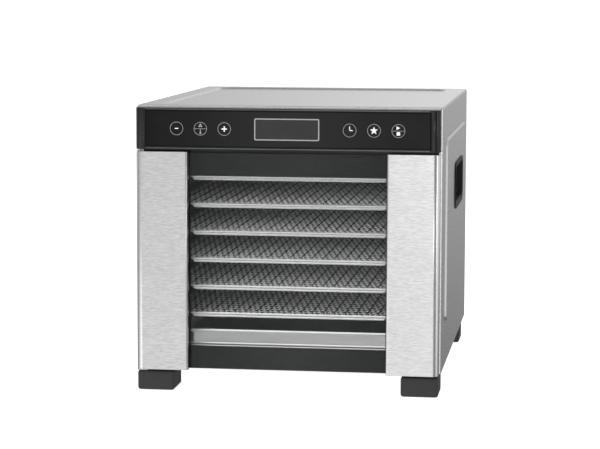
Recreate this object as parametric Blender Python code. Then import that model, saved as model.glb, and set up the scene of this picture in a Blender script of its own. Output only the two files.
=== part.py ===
"""Box food dehydrator: six mesh trays and a drip tray behind a side-hinged glass door.

Warm air comes from a fan and a ring heater behind the tray chamber. Metres, +Z up.
The front faces -Y and +X is the right-hand side as seen from the front. The origin is on
the surface that the feet stand on, at the centre of the footprint.
"""

import math

import bmesh
import bpy
from mathutils import Matrix, Vector

MM = 0.001
GAP = 0.3 * MM  # clearance between pieces that touch
SHEET = 0.8 * MM  # folded sheet steel

# Outside of the appliance
BODY_WIDTH = 345 * MM
BODY_HEIGHT = 298 * MM
BODY_DEPTH = 450 * MM  # from the face of the door to the back of the casing
FOOT_HEIGHT = 25 * MM
CASE_CORNER = 3 * MM
HEM_WIDTH = 4.4 * MM  # the casing's front edge is rolled inwards
HEM_DEPTH = 6 * MM
HEM_ROLL = 3 * MM
REAR_SETBACK = 4 * MM  # from the end of the casing to the face of the rear panel
REAR_SHEET = 1.2 * MM

# Door and control panel, which share one rounded outer edge
FASCIA_INSET = 1.5 * MM
FASCIA_DEPTH = 14 * MM
FASCIA_GAP = 2 * MM  # between the door's back and the casing
STRIP_WIDTH = 59 * MM
DOOR_TOP_BELOW_CASE = 51.7 * MM
CONTROL_HEIGHT = 46.8 * MM
CONTROL_TOP_BELOW_CASE = 2.5 * MM
GLASS_RECESS = 9 * MM
GLASS_THICKNESS = 4 * MM
GLASS_WIDTH = 300 * MM

# Tray chamber
CHAMBER_HALF_WIDTH = 146 * MM
CHAMBER_FLOOR = 47.2 * MM
CHAMBER_HEIGHT = 215 * MM
CHAMBER_BACK_Y = 112.5 * MM
BULKHEAD_Y = 170 * MM
TRAY_WIDTH = 286 * MM
TRAY_FRONT_Y = -203 * MM
TRAY_DEPTH = 308 * MM
TRAY_COUNT = 6
TRAY_PITCH = 31.1 * MM
TOP_TRAY_Z = 243 * MM  # upper surface of the highest tray
TRAY_LIP_HEIGHT = 4.8 * MM
TRAY_BORDER = 5 * MM
DRIP_FLOOR_Z = 52 * MM
DRIP_RIM = 15 * MM
RACK_SHEET = 1.5 * MM
RACK_LEDGE = 7 * MM
LEDGE_SHEET = 1.2 * MM

# Fan and heater
FAN_AXIS_Z = 157 * MM
FAN_RADIUS = 74 * MM
SHAFT_RADIUS = 3 * MM
HEATER_RADIUS = 88 * MM
SCREW_HOLE = 2.3 * MM  # radius

HALF_WIDTH = BODY_WIDTH / 2
FRONT_Y = -BODY_DEPTH / 2
REAR_Y = BODY_DEPTH / 2
BASE_Z = FOOT_HEIGHT
TOP_Z = BASE_Z + BODY_HEIGHT
CASE_FRONT_Y = FRONT_Y + FASCIA_DEPTH + FASCIA_GAP
FASCIA_HALF = HALF_WIDTH - FASCIA_INSET
FASCIA_ROUND = FASCIA_DEPTH / 2
DOOR_BOTTOM = BASE_Z - 0.8 * MM
DOOR_TOP = TOP_Z - DOOR_TOP_BELOW_CASE
CONTROL_TOP = TOP_Z - CONTROL_TOP_BELOW_CASE
CONTROL_BOTTOM = CONTROL_TOP - CONTROL_HEIGHT
HINGE_X = -FASCIA_HALF + FASCIA_ROUND
HINGE_Y = FRONT_Y + FASCIA_ROUND
STRIP_INNER_X = FASCIA_HALF - STRIP_WIDTH
GLASS_FRONT_Y = FRONT_Y + GLASS_RECESS
CHAMBER_TOP = CHAMBER_FLOOR + CHAMBER_HEIGHT
SIDES = {"left": -1, "right": 1}

# name: (colour, roughness, metallic)
FINISHES = {
    "brushed_steel": ((0.66, 0.66, 0.67), 0.32, 1.0),
    "polished_steel": ((0.70, 0.70, 0.71), 0.18, 1.0),
    "mesh_steel": ((0.62, 0.62, 0.63), 0.30, 1.0),
    "zinc_steel": ((0.48, 0.49, 0.50), 0.45, 1.0),
    "black_gloss": ((0.012, 0.012, 0.013), 0.12, 0.0),
    "black_plastic": ((0.022, 0.022, 0.024), 0.42, 0.0),
    "foot_rubber": ((0.055, 0.056, 0.060), 0.62, 0.0),
    "door_glass": ((0.10, 0.11, 0.11), 0.03, 0.0),
    "board_green": ((0.03, 0.13, 0.06), 0.50, 0.0),
    "display_dark": ((0.05, 0.055, 0.055), 0.20, 0.0),
    "fan_blade": ((0.55, 0.55, 0.56), 0.38, 1.0),
    "heater_sheath": ((0.20, 0.19, 0.18), 0.50, 1.0),
}


def clear_scene():
    for obj in list(bpy.data.objects):
        bpy.data.objects.remove(obj, do_unlink=True)


def material(name):
    found = bpy.data.materials.get(name)
    if found:
        return found
    colour, roughness, metallic = FINISHES[name]
    made = bpy.data.materials.new(name)
    made.use_nodes = True
    shader = made.node_tree.nodes["Principled BSDF"]
    shader.inputs["Base Color"].default_value = (*colour, 1)
    shader.inputs["Roughness"].default_value = roughness
    shader.inputs["Metallic"].default_value = metallic
    return made


def group(name, location=(0, 0, 0)):
    """An empty that holds the pieces of one moving body, on the axis it moves about."""
    empty = bpy.data.objects.new(name, None)
    empty.location = location
    bpy.context.scene.collection.objects.link(empty)
    return empty


def finish(name, form, finish_name=None, parent=None):
    """Turns a bmesh into an object. Its points stay where they are, whatever its parent."""
    bmesh.ops.recalc_face_normals(form, faces=form.faces)
    mesh = bpy.data.meshes.new(name)
    form.to_mesh(mesh)
    form.free()
    obj = bpy.data.objects.new(name, mesh)
    bpy.context.scene.collection.objects.link(obj)
    if finish_name:
        mesh.materials.append(material(finish_name))
    if parent:
        obj.parent = parent
        obj.matrix_parent_inverse = Matrix.Translation(parent.location).inverted()
    return obj


def smooth(obj, angle=35):
    obj.data.shade_smooth()
    obj.data.set_sharp_from_angle(angle=math.radians(angle))
    return obj


def bake(obj):
    """Applies the object's modifiers."""
    graph = bpy.context.evaluated_depsgraph_get()
    mesh = bpy.data.meshes.new_from_object(obj.evaluated_get(graph))
    obj.modifiers.clear()
    obj.data = mesh
    return obj


def combine(obj, tools, operation):
    """Cuts the tools from obj, or joins them to it, and removes them."""
    for tool in tools:
        step = obj.modifiers.new(operation.lower(), "BOOLEAN")
        step.operation = operation
        step.solver = "EXACT"
        step.object = tool
        bake(obj)
        bpy.data.objects.remove(tool, do_unlink=True)
    return obj


def cut(obj, *tools):
    return combine(obj, tools, "DIFFERENCE")


def join(obj, *tools):
    return combine(obj, tools, "UNION")


def box(name, low, high, finish_name=None, parent=None):
    low, high = Vector(low), Vector(high)
    form = bmesh.new()
    bmesh.ops.create_cube(form, size=1)
    size = high - low
    bmesh.ops.scale(form, vec=size, verts=form.verts)
    bmesh.ops.translate(form, vec=(low + high) / 2, verts=form.verts)
    return finish(name, form, finish_name, parent)


def bevel(obj, width, segments=2, angle=30):
    """Rounds the edges that are sharper than the angle."""
    step = obj.modifiers.new("round", "BEVEL")
    step.width = width
    step.segments = segments
    step.limit_method = "ANGLE"
    step.angle_limit = math.radians(angle)
    return bake(obj)


PLANES = {
    "x": lambda a, b, c: (c, a, b),
    "y": lambda a, b, c: (a, c, b),
    "z": lambda a, b, c: (a, b, c),
}


def loft(name, sections, axis, finish_name=None, parent=None):
    """A closed solid through outlines of equal length, given as (place on the axis, outline)."""
    form = bmesh.new()
    rings = []
    for place, outline in sections:
        rings.append([form.verts.new(PLANES[axis](a, b, place)) for a, b in outline])
    for ring, following in zip(rings, rings[1:]):
        for i, vert in enumerate(ring):
            after = (i + 1) % len(ring)
            form.faces.new((vert, ring[after], following[after], following[i]))
    form.faces.new(rings[0])
    form.faces.new(rings[-1])
    return finish(name, form, finish_name, parent)


def prism(name, outline, axis, start, end, finish_name=None, parent=None):
    return loft(name, [(start, outline), (end, outline)], axis, finish_name, parent)


def arc(centre, radius, start, end, steps):
    """Points from the start angle to the end angle, in degrees, both included."""
    points = []
    for i in range(steps + 1):
        angle = math.radians(start + (end - start) * i / steps)
        x = centre[0] + radius * math.cos(angle)
        y = centre[1] + radius * math.sin(angle)
        points.append((x, y))
    return points


def circle(centre, radius, sides=24):
    return arc(centre, radius, 0, 360 - 360 / sides, sides - 1)


def rectangle(low, high, corner=0.0, steps=3):
    """A rectangle's outline, with its corners rounded if corner is more than 0."""
    (x0, y0), (x1, y1) = low, high
    if corner <= 0:
        return [(x0, y0), (x1, y0), (x1, y1), (x0, y1)]
    c = corner
    return (
        arc((x1 - c, y0 + c), c, -90, 0, steps)
        + arc((x1 - c, y1 - c), c, 0, 90, steps)
        + arc((x0 + c, y1 - c), c, 90, 180, steps)
        + arc((x0 + c, y0 + c), c, 180, 270, steps)
    )


def mirrored(outline, side):
    """The outline for the right-hand side from the one drawn for the left."""
    return outline if side < 0 else [(-x, y) for x, y in reversed(outline)]


def rod(name, centre, axis, radius, start, end, finish_name=None, parent=None, sides=24):
    return smooth(
        prism(name, circle(centre, radius, sides), axis, start, end, finish_name, parent)
    )


# ---------------------------------------------------------------- casing


def casing_path(inset):
    """The casing's cross-section, up the left side, over the top and down the right."""
    x = HALF_WIDTH - inset
    top = TOP_Z - inset
    corner = max(CASE_CORNER - inset, GAP)
    return (
        [(-x, BASE_Z)]
        + arc((-x + corner, top - corner), corner, 180, 90, 4)
        + arc((x - corner, top - corner), corner, 90, 0, 4)
        + [(x, BASE_Z)]
    )


PRESSED_CORNER = 14 * MM
PAD_SINK = 0.6 * MM  # how far a pad reaches into the sheet that it is pressed from
TOP_RECESS = ((-148 * MM, -175 * MM), (148 * MM, 200 * MM))
RECESS_DEPTH, RECESS_SLOPE = 1.8 * MM, 2.5 * MM
SIDE_PAD = ((-158 * MM, 74 * MM), (178 * MM, 284 * MM))
SIDE_PAD_RAISE, SIDE_PAD_SLOPE = 2 * MM, 2 * MM
GRIP_CUTOUT = ((-29 * MM, 196 * MM), (99 * MM, 242 * MM))
GRIP_CORNER = 9 * MM


def pressed_outline(corners, inset=0.0):
    (a0, b0), (a1, b1) = corners
    return rectangle(
        (a0 + inset, b0 + inset), (a1 - inset, b1 - inset), PRESSED_CORNER - inset
    )


def side_pad(side):
    """A raised area with sloping edges on one side of the casing."""
    surface, outer = side * HALF_WIDTH, pressed_outline(SIDE_PAD)
    top = pressed_outline(SIDE_PAD, SIDE_PAD_SLOPE)
    sections = [(surface - side * PAD_SINK, outer), (surface, outer)]
    sections += [(surface + side * SIDE_PAD_RAISE, top)]
    return loft("pad", sections, "x")


def top_recess():
    """The dish pressed into the top: the sheet round it, and the space inside it."""
    shell = loft(
        "shell",
        [
            (TOP_Z - PAD_SINK, pressed_outline(TOP_RECESS, -SHEET)),
            (TOP_Z - RECESS_DEPTH - SHEET, pressed_outline(TOP_RECESS, RECESS_SLOPE - SHEET)),
        ],
        "z",
    )
    space = loft(
        "space",
        [
            (TOP_Z + MM, pressed_outline(TOP_RECESS)),
            (TOP_Z, pressed_outline(TOP_RECESS)),
            (TOP_Z - RECESS_DEPTH, pressed_outline(TOP_RECESS, RECESS_SLOPE)),
        ],
        "z",
    )
    return shell, space


def grip_outline(margin=0.0):
    """The hand grip's cut-out in the side of the casing."""
    (y0, z0), (y1, z1) = GRIP_CUTOUT
    return rectangle(
        (y0 - margin, z0 - margin), (y1 + margin, z1 + margin), GRIP_CORNER + margin
    )


def make_casing():
    """The wrap-round cover, swept along its cross-section with a rolled front edge."""
    front_roll = [
        (HEM_ROLL - x, CASE_FRONT_Y + HEM_ROLL - y) for x, y in arc((0, 0), HEM_ROLL, 90, 0, 4)
    ]
    profile = (
        [(HEM_WIDTH, CASE_FRONT_Y)]
        + front_roll
        + [(0, REAR_Y), (SHEET, REAR_Y), (SHEET, CASE_FRONT_Y + HEM_DEPTH)]
        + [(HEM_WIDTH, CASE_FRONT_Y + HEM_DEPTH)]
    )
    form = bmesh.new()
    rows = []
    for inset, y in profile:
        rows.append([form.verts.new((x, y, z)) for x, z in casing_path(inset)])
    for i, row in enumerate(rows):
        following = rows[(i + 1) % len(rows)]
        for j in range(len(row) - 1):
            form.faces.new((row[j], row[j + 1], following[j + 1], following[j]))
    form.faces.new([row[0] for row in rows])
    form.faces.new([row[-1] for row in rows])
    casing = finish("casing", form, "brushed_steel")

    shell, space = top_recess()
    join(casing, shell, side_pad(SIDES["left"]), side_pad(SIDES["right"]))
    hole = prism("hole", grip_outline(GAP), "x", -BODY_WIDTH, BODY_WIDTH)
    cut(casing, space, hole)
    return smooth(casing)


def make_base_plate():
    inset = SHEET + GAP
    base = box(
        "base_plate",
        (-HALF_WIDTH + inset, CASE_FRONT_Y + HEM_DEPTH + GAP, BASE_Z),
        (HALF_WIDTH - inset, REAR_Y - 6 * MM, BASE_Z + SHEET),
        "zinc_steel",
    )
    holes = [
        rod("hole", (x, y), "z", SCREW_HOLE, BASE_Z - MM, BASE_Z + 3 * MM, sides=12)
        for x, y in foot_centres().values()
    ]
    return cut(base, *holes)


VENT_ROWS = 4  # on each side of the middle slot
VENT_PITCH = 12 * MM
VENT_SLOT = 5 * MM
VENT_RADIUS = 62 * MM
INLET_CENTRE = (112 * MM, 62 * MM)
INLET_BODY = (14 * MM, 10 * MM)  # half its width and height


def make_rear_panel():
    """The back cover, with vent slots in front of the motor and a cut-out for the inlet."""
    y1 = REAR_Y - REAR_SETBACK
    y0 = y1 - REAR_SHEET
    inset = SHEET + GAP
    outline = rectangle(
        (-HALF_WIDTH + inset, BASE_Z + SHEET + GAP),
        (HALF_WIDTH - inset, TOP_Z - inset),
        CASE_CORNER - SHEET,
    )
    panel = prism("rear_panel", outline, "y", y0, y1, "brushed_steel")
    slots = []
    for row in range(-VENT_ROWS, VENT_ROWS + 1):
        rise = row * VENT_PITCH
        half = math.sqrt(VENT_RADIUS**2 - rise**2)
        low, high = FAN_AXIS_Z + rise - VENT_SLOT / 2, FAN_AXIS_Z + rise + VENT_SLOT / 2
        slots.append(box("slot", (-half, y0 - MM, low), (half, y1 + MM, high)))
    x, z = INLET_CENTRE
    half_w, half_h = INLET_BODY[0] + GAP, INLET_BODY[1] + GAP
    inlet = box(
        "slot", (x - half_w, y0 - MM, z - half_h), (x + half_w, y1 + MM, z + half_h)
    )
    cut(panel, *slots, inlet)
    screws = [
        rod("hole", place, "y", SCREW_HOLE, y0 - MM, y1 + MM, sides=12)
        for place in rear_screw_places().values()
    ]
    return cut(panel, *screws)


def rear_screw_places():
    x = HALF_WIDTH - 12 * MM
    low, high = BASE_Z + 14 * MM, TOP_Z - 14 * MM
    return {
        "rear_screw_lower_left": (-x, low),
        "rear_screw_lower_right": (x, low),
        "rear_screw_upper_left": (-x, high),
        "rear_screw_upper_right": (x, high),
    }


def make_screw(name, centre, axis, direction, head_at, length):
    """A pan-head screw with a cross recess. The shank runs against the direction."""
    head_radius, head_height, shank = 3.6 * MM, 2 * MM, 2 * MM
    head = loft(
        name,
        [
            (head_at, circle(centre, head_radius, 16)),
            (head_at + direction * 1.2 * MM, circle(centre, head_radius, 16)),
            (head_at + direction * head_height, circle(centre, head_radius * 0.7, 16)),
        ],
        axis,
        "zinc_steel",
    )
    stem = prism(
        "stem",
        circle(centre, shank, 12),
        axis,
        head_at + direction * 0.5 * MM,
        head_at - direction * length,
    )
    join(head, stem)
    a, b = centre
    for long_a, long_b in ((1, 0.25), (0.25, 1)):
        reach = head_radius * 0.55
        slot = prism(
            "slot",
            rectangle(
                (a - reach * long_a, b - reach * long_b),
                (a + reach * long_a, b + reach * long_b),
            ),
            axis,
            head_at + direction * 1.0 * MM,
            head_at + direction * 3 * MM,
        )
        cut(head, slot)
    return smooth(head)


def make_rear_screws():
    for name, place in rear_screw_places().items():
        make_screw(name, place, "y", 1, REAR_Y - REAR_SETBACK + GAP, 9 * MM)


# ---------------------------------------------------------------- feet

FOOT_SIZE = (42 * MM, 46 * MM)
FOOT_TOP = 22.5 * MM
FRONT_FOOT_Y = FRONT_Y + 3 * MM + FOOT_SIZE[1] / 2
REAR_FOOT_Y = 172 * MM
WELL_DEPTH = 15 * MM


def foot_centres():
    """Where each foot's screw stands."""
    x = HALF_WIDTH - 23 * MM
    return {
        "foot_front_left": (-x, FRONT_FOOT_Y + 12 * MM),
        "foot_front_right": (x, FRONT_FOOT_Y + 12 * MM),
        "foot_rear_left": (-x, REAR_FOOT_Y),
        "foot_rear_right": (x, REAR_FOOT_Y),
    }


def make_feet():
    """Moulded feet, each with a boss up to the base plate and a well for its screw."""
    for name, (x, y) in foot_centres().items():
        middle = FRONT_FOOT_Y if "front" in name else REAR_FOOT_Y
        half_x, half_y = FOOT_SIZE[0] / 2, FOOT_SIZE[1] / 2
        foot = bevel(
            box(
                name,
                (x - half_x, middle - half_y, 0),
                (x + half_x, middle + half_y, FOOT_TOP),
                "foot_rubber",
            ),
            3 * MM,
            3,
        )
        boss = box(
            "boss",
            (x - 8 * MM, y - 6 * MM, FOOT_TOP - 2 * MM),
            (x + 8 * MM, y + 6 * MM, BASE_Z - GAP),
        )
        join(foot, boss)
        well = rod("well", (x, y), "z", 4.6 * MM, -MM, WELL_DEPTH, sides=16)
        bore = rod("bore", (x, y), "z", SCREW_HOLE, WELL_DEPTH - 5 * MM, BASE_Z, sides=12)
        smooth(cut(foot, well, bore))
        screw = name.replace("foot", "foot_screw")
        make_screw(screw, (x, y), "z", -1, WELL_DEPTH - GAP, 16 * MM)


# ---------------------------------------------------------------- control panel

PANEL_HALF = 159.5 * MM
PANEL_RIM = (3.8 * MM, 3.5 * MM)  # frame below and above the glass
PANEL_RECESS = 2.5 * MM
PANEL_GLASS = 3 * MM
DISPLAY_SIZE = (73 * MM, 24.4 * MM)


def panel_window():
    """(lowest z, highest z) of the panel glass's pocket."""
    return CONTROL_BOTTOM + PANEL_RIM[0], CONTROL_TOP - PANEL_RIM[1]


def make_control_frame():
    r = FASCIA_ROUND
    back = CASE_FRONT_Y - GAP
    left = [(-FASCIA_HALF, back)] + arc((HINGE_X, HINGE_Y), r, 180, 270, 6)
    outline = left + [(-x, y) for x, y in reversed(left)]
    frame = prism(
        "control_frame", outline, "z", CONTROL_BOTTOM, CONTROL_TOP, "black_plastic"
    )
    low, high = panel_window()
    slope = 2 * MM
    pocket_outline = rectangle((-PANEL_HALF, low), (PANEL_HALF, high))
    wide = rectangle(
        (-PANEL_HALF - slope, low - slope), (PANEL_HALF + slope, high + slope)
    )
    pocket = loft(
        "pocket",
        [
            (FRONT_Y - MM, wide),
            (FRONT_Y, wide),
            (FRONT_Y + PANEL_RECESS, pocket_outline),
            (FRONT_Y + PANEL_RECESS + PANEL_GLASS + GAP, pocket_outline),
        ],
        "y",
    )
    ledge = 4 * MM
    hollow = box(
        "hollow",
        (-PANEL_HALF + ledge, FRONT_Y + PANEL_RECESS, low + ledge),
        (PANEL_HALF - ledge, back + MM, high - ledge),
    )
    pin_hole = rod(
        "hole", (HINGE_X, HINGE_Y), "z", PIN_RADIUS + GAP, DOOR_TOP, UPPER_PIN[1] + GAP, sides=16
    )
    return smooth(cut(frame, pocket, hollow, pin_hole))


def make_control_glass():
    """The touch panel's glass. Its keys are printed, so nothing on it moves."""
    low, high = panel_window()
    y0 = FRONT_Y + PANEL_RECESS
    return box(
        "control_glass",
        (-PANEL_HALF + GAP, y0, low + GAP),
        (PANEL_HALF - GAP, y0 + PANEL_GLASS, high - GAP),
        "black_gloss",
    )


def make_electronics():
    low, high = panel_window()
    middle = (low + high) / 2
    glass_back = FRONT_Y + PANEL_RECESS + PANEL_GLASS
    half_w, half_h = DISPLAY_SIZE[0] / 2, DISPLAY_SIZE[1] / 2
    display_back = glass_back + 5 * MM
    box(
        "display_module",
        (-half_w, glass_back + GAP, middle - half_h),
        (half_w, display_back, middle + half_h),
        "display_dark",
    )
    box(
        "control_board",
        (-150 * MM, display_back + GAP, low + 5 * MM),
        (150 * MM, display_back + 1.9 * MM, high - 5 * MM),
        "board_green",
    )
    board_z = CHAMBER_TOP + SHEET + 8 * MM
    board = box(
        "power_board", (-60 * MM, 20 * MM, board_z), (80 * MM, 120 * MM, board_z + 1.6 * MM),
        "board_green",
    )
    parts = [
        ((-50, 35, -1), (-18, 60, 22)),
        ((-5, 34, -1), (14, 62, 17)),
        ((30, 40, -1), (44, 54, 26)),
        ((52, 40, -1), (66, 54, 26)),
        ((-48, 84, -1), (40, 108, 9)),
    ]
    pegs = [((x, y, -7.6), (x + 6, y + 6, 1)) for x in (-55, 68) for y in (24, 110)]
    for (x0, y0, z0), (x1, y1, z1) in parts + pegs:
        join(
            board,
            box(
                "component",
                (x0 * MM, y0 * MM, board_z + z0 * MM),
                (x1 * MM, y1 * MM, board_z + z1 * MM),
            ),
        )


# ---------------------------------------------------------------- hand grips


def make_hand_grips():
    """Moulded cups in both sides, with a flange over the casing."""
    depth, wall, flange = 20 * MM, 1.6 * MM, 1.2 * MM
    for word, side in SIDES.items():
        face = side * (HALF_WIDTH + SIDE_PAD_RAISE + GAP)
        inner = side * (HALF_WIDTH - depth)
        cup = prism(
            f"hand_grip_{word}",
            grip_outline(5 * MM),
            "x",
            face,
            face + side * flange,
            "black_plastic",
        )
        body = prism("body", grip_outline(), "x", inner, face + side * 0.5 * MM)
        join(cup, body)
        space = loft(
            "space",
            [
                (inner + side * wall, grip_outline(-wall - 2 * MM)),
                (face, grip_outline(-wall)),
                (face + side * (flange + 0.01 * MM), grip_outline()),
                (face + side * 3 * MM, grip_outline()),
            ],
            "x",
        )
        smooth(cut(cup, space))


# ---------------------------------------------------------------- door

PIN_RADIUS = 2 * MM
PIN_DEPTH = 12 * MM
UPPER_PIN = (DOOR_TOP - PIN_DEPTH, CONTROL_BOTTOM + 8 * MM)
LOWER_PIN = (22.8 * MM, DOOR_BOTTOM + PIN_DEPTH)
COVER = 1 * MM  # steel of the strips
EDGE_ROUND = 2 * MM
STRIP_RETURN = 8 * MM  # how far a strip reaches round the back of its stile


def strip_outline(inset):
    """The left strip's path from its inner edge, round the outside, to the back."""
    r = FASCIA_ROUND - inset
    edge = EDGE_ROUND - inset
    x = -STRIP_INNER_X - inset
    y = FRONT_Y + inset
    points = [(x, GLASS_FRONT_Y - GAP)]
    if edge > 0:
        points += arc((x - edge, y + edge), edge, 0, -90, 3)
    else:
        points += [(x, y)]
    points += arc((HINGE_X, HINGE_Y), r, 270, 90, 12)
    points += [(HINGE_X + STRIP_RETURN, HINGE_Y + r)]
    return points


def make_door_strips(parent):
    """Brushed steel covers, folded round the stiles and open at the back."""
    outer, inner = strip_outline(0), strip_outline(COVER)
    for word, side in SIDES.items():
        outline = mirrored(outer + list(reversed(inner)), side)
        name = f"door_strip_{word}"
        strip = prism(name, outline, "z", DOOR_BOTTOM, DOOR_TOP, "brushed_steel", parent)
        smooth(strip, 25)


def make_door_stiles(parent):
    """Moulded posts inside the strips. The glass is bonded into a rebate at their back."""
    r = FASCIA_ROUND - COVER - GAP
    x = -STRIP_INNER_X - COVER - GAP
    y = FRONT_Y + COVER + GAP
    back = HINGE_Y + r
    edge_x = -GLASS_WIDTH / 2 - GAP
    edge = EDGE_ROUND - COVER - GAP
    outline = (
        arc((x - edge, y + edge), edge, 0, -90, 3)
        + arc((HINGE_X, HINGE_Y), r, 270, 90, 12)
        + [(edge_x, back), (edge_x, GLASS_FRONT_Y - GAP), (x, GLASS_FRONT_Y - GAP)]
    )
    for word, side in SIDES.items():
        stile = prism(
            f"door_stile_{word}",
            mirrored(outline, side),
            "z",
            DOOR_BOTTOM + 0.2 * MM,
            DOOR_TOP - 0.2 * MM,
            "black_plastic",
            parent,
        )
        if side < 0:
            radius = PIN_RADIUS + GAP
            centre = (HINGE_X, HINGE_Y)
            low, high = LOWER_PIN[1] + GAP, UPPER_PIN[0] - GAP
            cut(
                stile,
                rod("bore", centre, "z", radius, DOOR_BOTTOM - MM, low, sides=16),
                rod("bore", centre, "z", radius, high, DOOR_TOP + MM, sides=16),
            )
        else:
            cut(stile, box("pocket", *magnet_box(GAP)))
        smooth(stile)


def magnet_box(margin=0.0):
    """The catch magnet in the back of the right-hand stile."""
    back = HINGE_Y + FASCIA_ROUND - COVER - GAP
    x, z = -HINGE_X - 7.6 * MM, 148 * MM
    open_back = margin * 8
    return (
        (x - 2.5 * MM - margin, back - 3 * MM - margin, z - 15 * MM - margin),
        (x + 2.5 * MM + margin, back - 0.2 * MM + open_back, z + 15 * MM + margin),
    )


def make_door(parent):
    make_door_strips(parent)
    make_door_stiles(parent)
    half = GLASS_WIDTH / 2
    box(
        "door_glass",
        (-half, GLASS_FRONT_Y, DOOR_BOTTOM + 0.4 * MM),
        (half, GLASS_FRONT_Y + GLASS_THICKNESS, DOOR_TOP - 1.6 * MM),
        "door_glass",
        parent,
    )
    box("door_magnet", *magnet_box(), "zinc_steel", parent)


def make_hinge():
    """Pins at the top and the bottom of the left stile, held by the frame and a bracket."""
    centre = (HINGE_X, HINGE_Y)
    rod("hinge_pin_upper", centre, "z", PIN_RADIUS, *UPPER_PIN, "zinc_steel", sides=16)
    pin = rod("stem", centre, "z", PIN_RADIUS, LOWER_PIN[0] + MM, LOWER_PIN[1], sides=16)
    bracket = box(
        "hinge_bracket",
        (-HALF_WIDTH + 2 * MM, HINGE_Y - 4 * MM, LOWER_PIN[0]),
        (-HALF_WIDTH + 14 * MM, CASE_FRONT_Y + 20 * MM, LOWER_PIN[0] + 1.1 * MM),
        "zinc_steel",
    )
    riser = box(
        "riser",
        (-HALF_WIDTH + 2 * MM, CASE_FRONT_Y + 8 * MM, LOWER_PIN[0] + 0.5 * MM),
        (-HALF_WIDTH + 8 * MM, CASE_FRONT_Y + 20 * MM, BASE_Z - GAP),
    )
    smooth(join(bracket, riser, pin))


# ---------------------------------------------------------------- chamber


FRAME_SETBACK = 1 * MM
FRAME_THICKNESS = 4 * MM
BACK_SLOT = (68 * MM, 8 * MM)
BACK_SLOT_PITCH = (84 * MM, 26 * MM)


def make_front_frame():
    """The black frame that closes the space between the casing and the chamber."""
    y0, y1 = CASE_FRONT_Y + FRAME_SETBACK, CASE_FRONT_Y + FRAME_SETBACK + FRAME_THICKNESS
    hem = HEM_WIDTH + GAP
    frame = box(
        "front_frame",
        (-HALF_WIDTH + hem, y0, BASE_Z + 0.5 * MM),
        (HALF_WIDTH - hem, y1, CONTROL_BOTTOM + 3 * MM),
        "black_plastic",
    )
    opening = box(
        "opening",
        (-CHAMBER_HALF_WIDTH, y0 - MM, CHAMBER_FLOOR),
        (CHAMBER_HALF_WIDTH, y1 + MM, CHAMBER_TOP),
    )
    return cut(frame, opening)


def make_catch_plate():
    """The steel plate that the door's magnet meets."""
    (x0, _, z0), (x1, _, z1) = magnet_box()
    y = CASE_FRONT_Y + FRAME_SETBACK - GAP
    box("catch_plate", (x0 - MM, y - 1.2 * MM, z0), (x1 + MM, y, z1), "zinc_steel")


def make_chamber():
    """Four flat liner panels, a slotted back wall and the bulkhead that carries the motor."""
    y0 = CASE_FRONT_Y + FRAME_SETBACK + FRAME_THICKNESS + GAP
    y1 = BULKHEAD_Y - GAP
    x, floor, top = CHAMBER_HALF_WIDTH, CHAMBER_FLOOR, CHAMBER_TOP
    steel = "polished_steel"
    box("chamber_floor", (-x - SHEET, y0, floor - SHEET), (x + SHEET, y1, floor), steel)
    box("chamber_top", (-x - SHEET, y0, top), (x + SHEET, y1, top + SHEET), steel)
    for word, side in SIDES.items():
        inner, outer = sorted((side * x, side * (x + SHEET)))
        box(
            f"chamber_side_{word}", (inner, y0, floor + GAP), (outer, y1, top - GAP), steel
        )
    back = box(
        "chamber_back",
        (-x + GAP, CHAMBER_BACK_Y, floor + GAP),
        (x - GAP, CHAMBER_BACK_Y + SHEET, top - GAP),
        steel,
    )
    half_w, half_h = BACK_SLOT[0] / 2, BACK_SLOT[1] / 2
    slots = []
    for row in range(-3, 4):
        for column in (-1, 0, 1):
            slot_x = column * BACK_SLOT_PITCH[0]
            slot_z = FAN_AXIS_Z + row * BACK_SLOT_PITCH[1]
            slots.append(
                box(
                    "slot",
                    (slot_x - half_w, CHAMBER_BACK_Y - MM, slot_z - half_h),
                    (slot_x + half_w, CHAMBER_BACK_Y + 3 * MM, slot_z + half_h),
                )
            )
    cut(back, *slots)


def make_tray_racks():
    """Folded side racks: a plate with one ledge under each tray and the drip tray."""
    outer = CHAMBER_HALF_WIDTH - GAP
    inner = outer - RACK_SHEET
    ledge_x = inner - RACK_LEDGE
    foot, top = CHAMBER_FLOOR + GAP, CHAMBER_TOP - 6 * MM
    drip_ledge = DRIP_FLOOR_Z - SHEET - GAP
    outline = [
        (-outer, top), (-outer, foot), (-ledge_x, foot),
        (-ledge_x, drip_ledge), (-inner, drip_ledge),
    ]
    for k in reversed(range(TRAY_COUNT)):
        ledge = TOP_TRAY_Z - k * TRAY_PITCH - SHEET - GAP
        under = ledge - LEDGE_SHEET
        outline += [(-inner, under), (-ledge_x, under), (-ledge_x, ledge), (-inner, ledge)]
    outline += [(-inner, top)]
    for word, side in SIDES.items():
        prism(
            f"tray_rack_{word}",
            mirrored(outline, side),
            "y",
            TRAY_FRONT_Y + 6 * MM,
            CHAMBER_BACK_Y - 4 * MM,
            "polished_steel",
        )


# ---------------------------------------------------------------- trays


def lip_outline(top, bottom, half):
    """The front lip: its lower corners are rounded off."""
    c = (top - bottom) * 0.8
    return (
        [(-half, top), (-half, bottom + c)]
        + arc((-half + c, bottom + c), c, 180, 270, 3)[1:]
        + arc((half - c, bottom + c), c, 270, 360, 3)[:-1]
        + [(half, bottom + c), (half, top)]
    )


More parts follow.
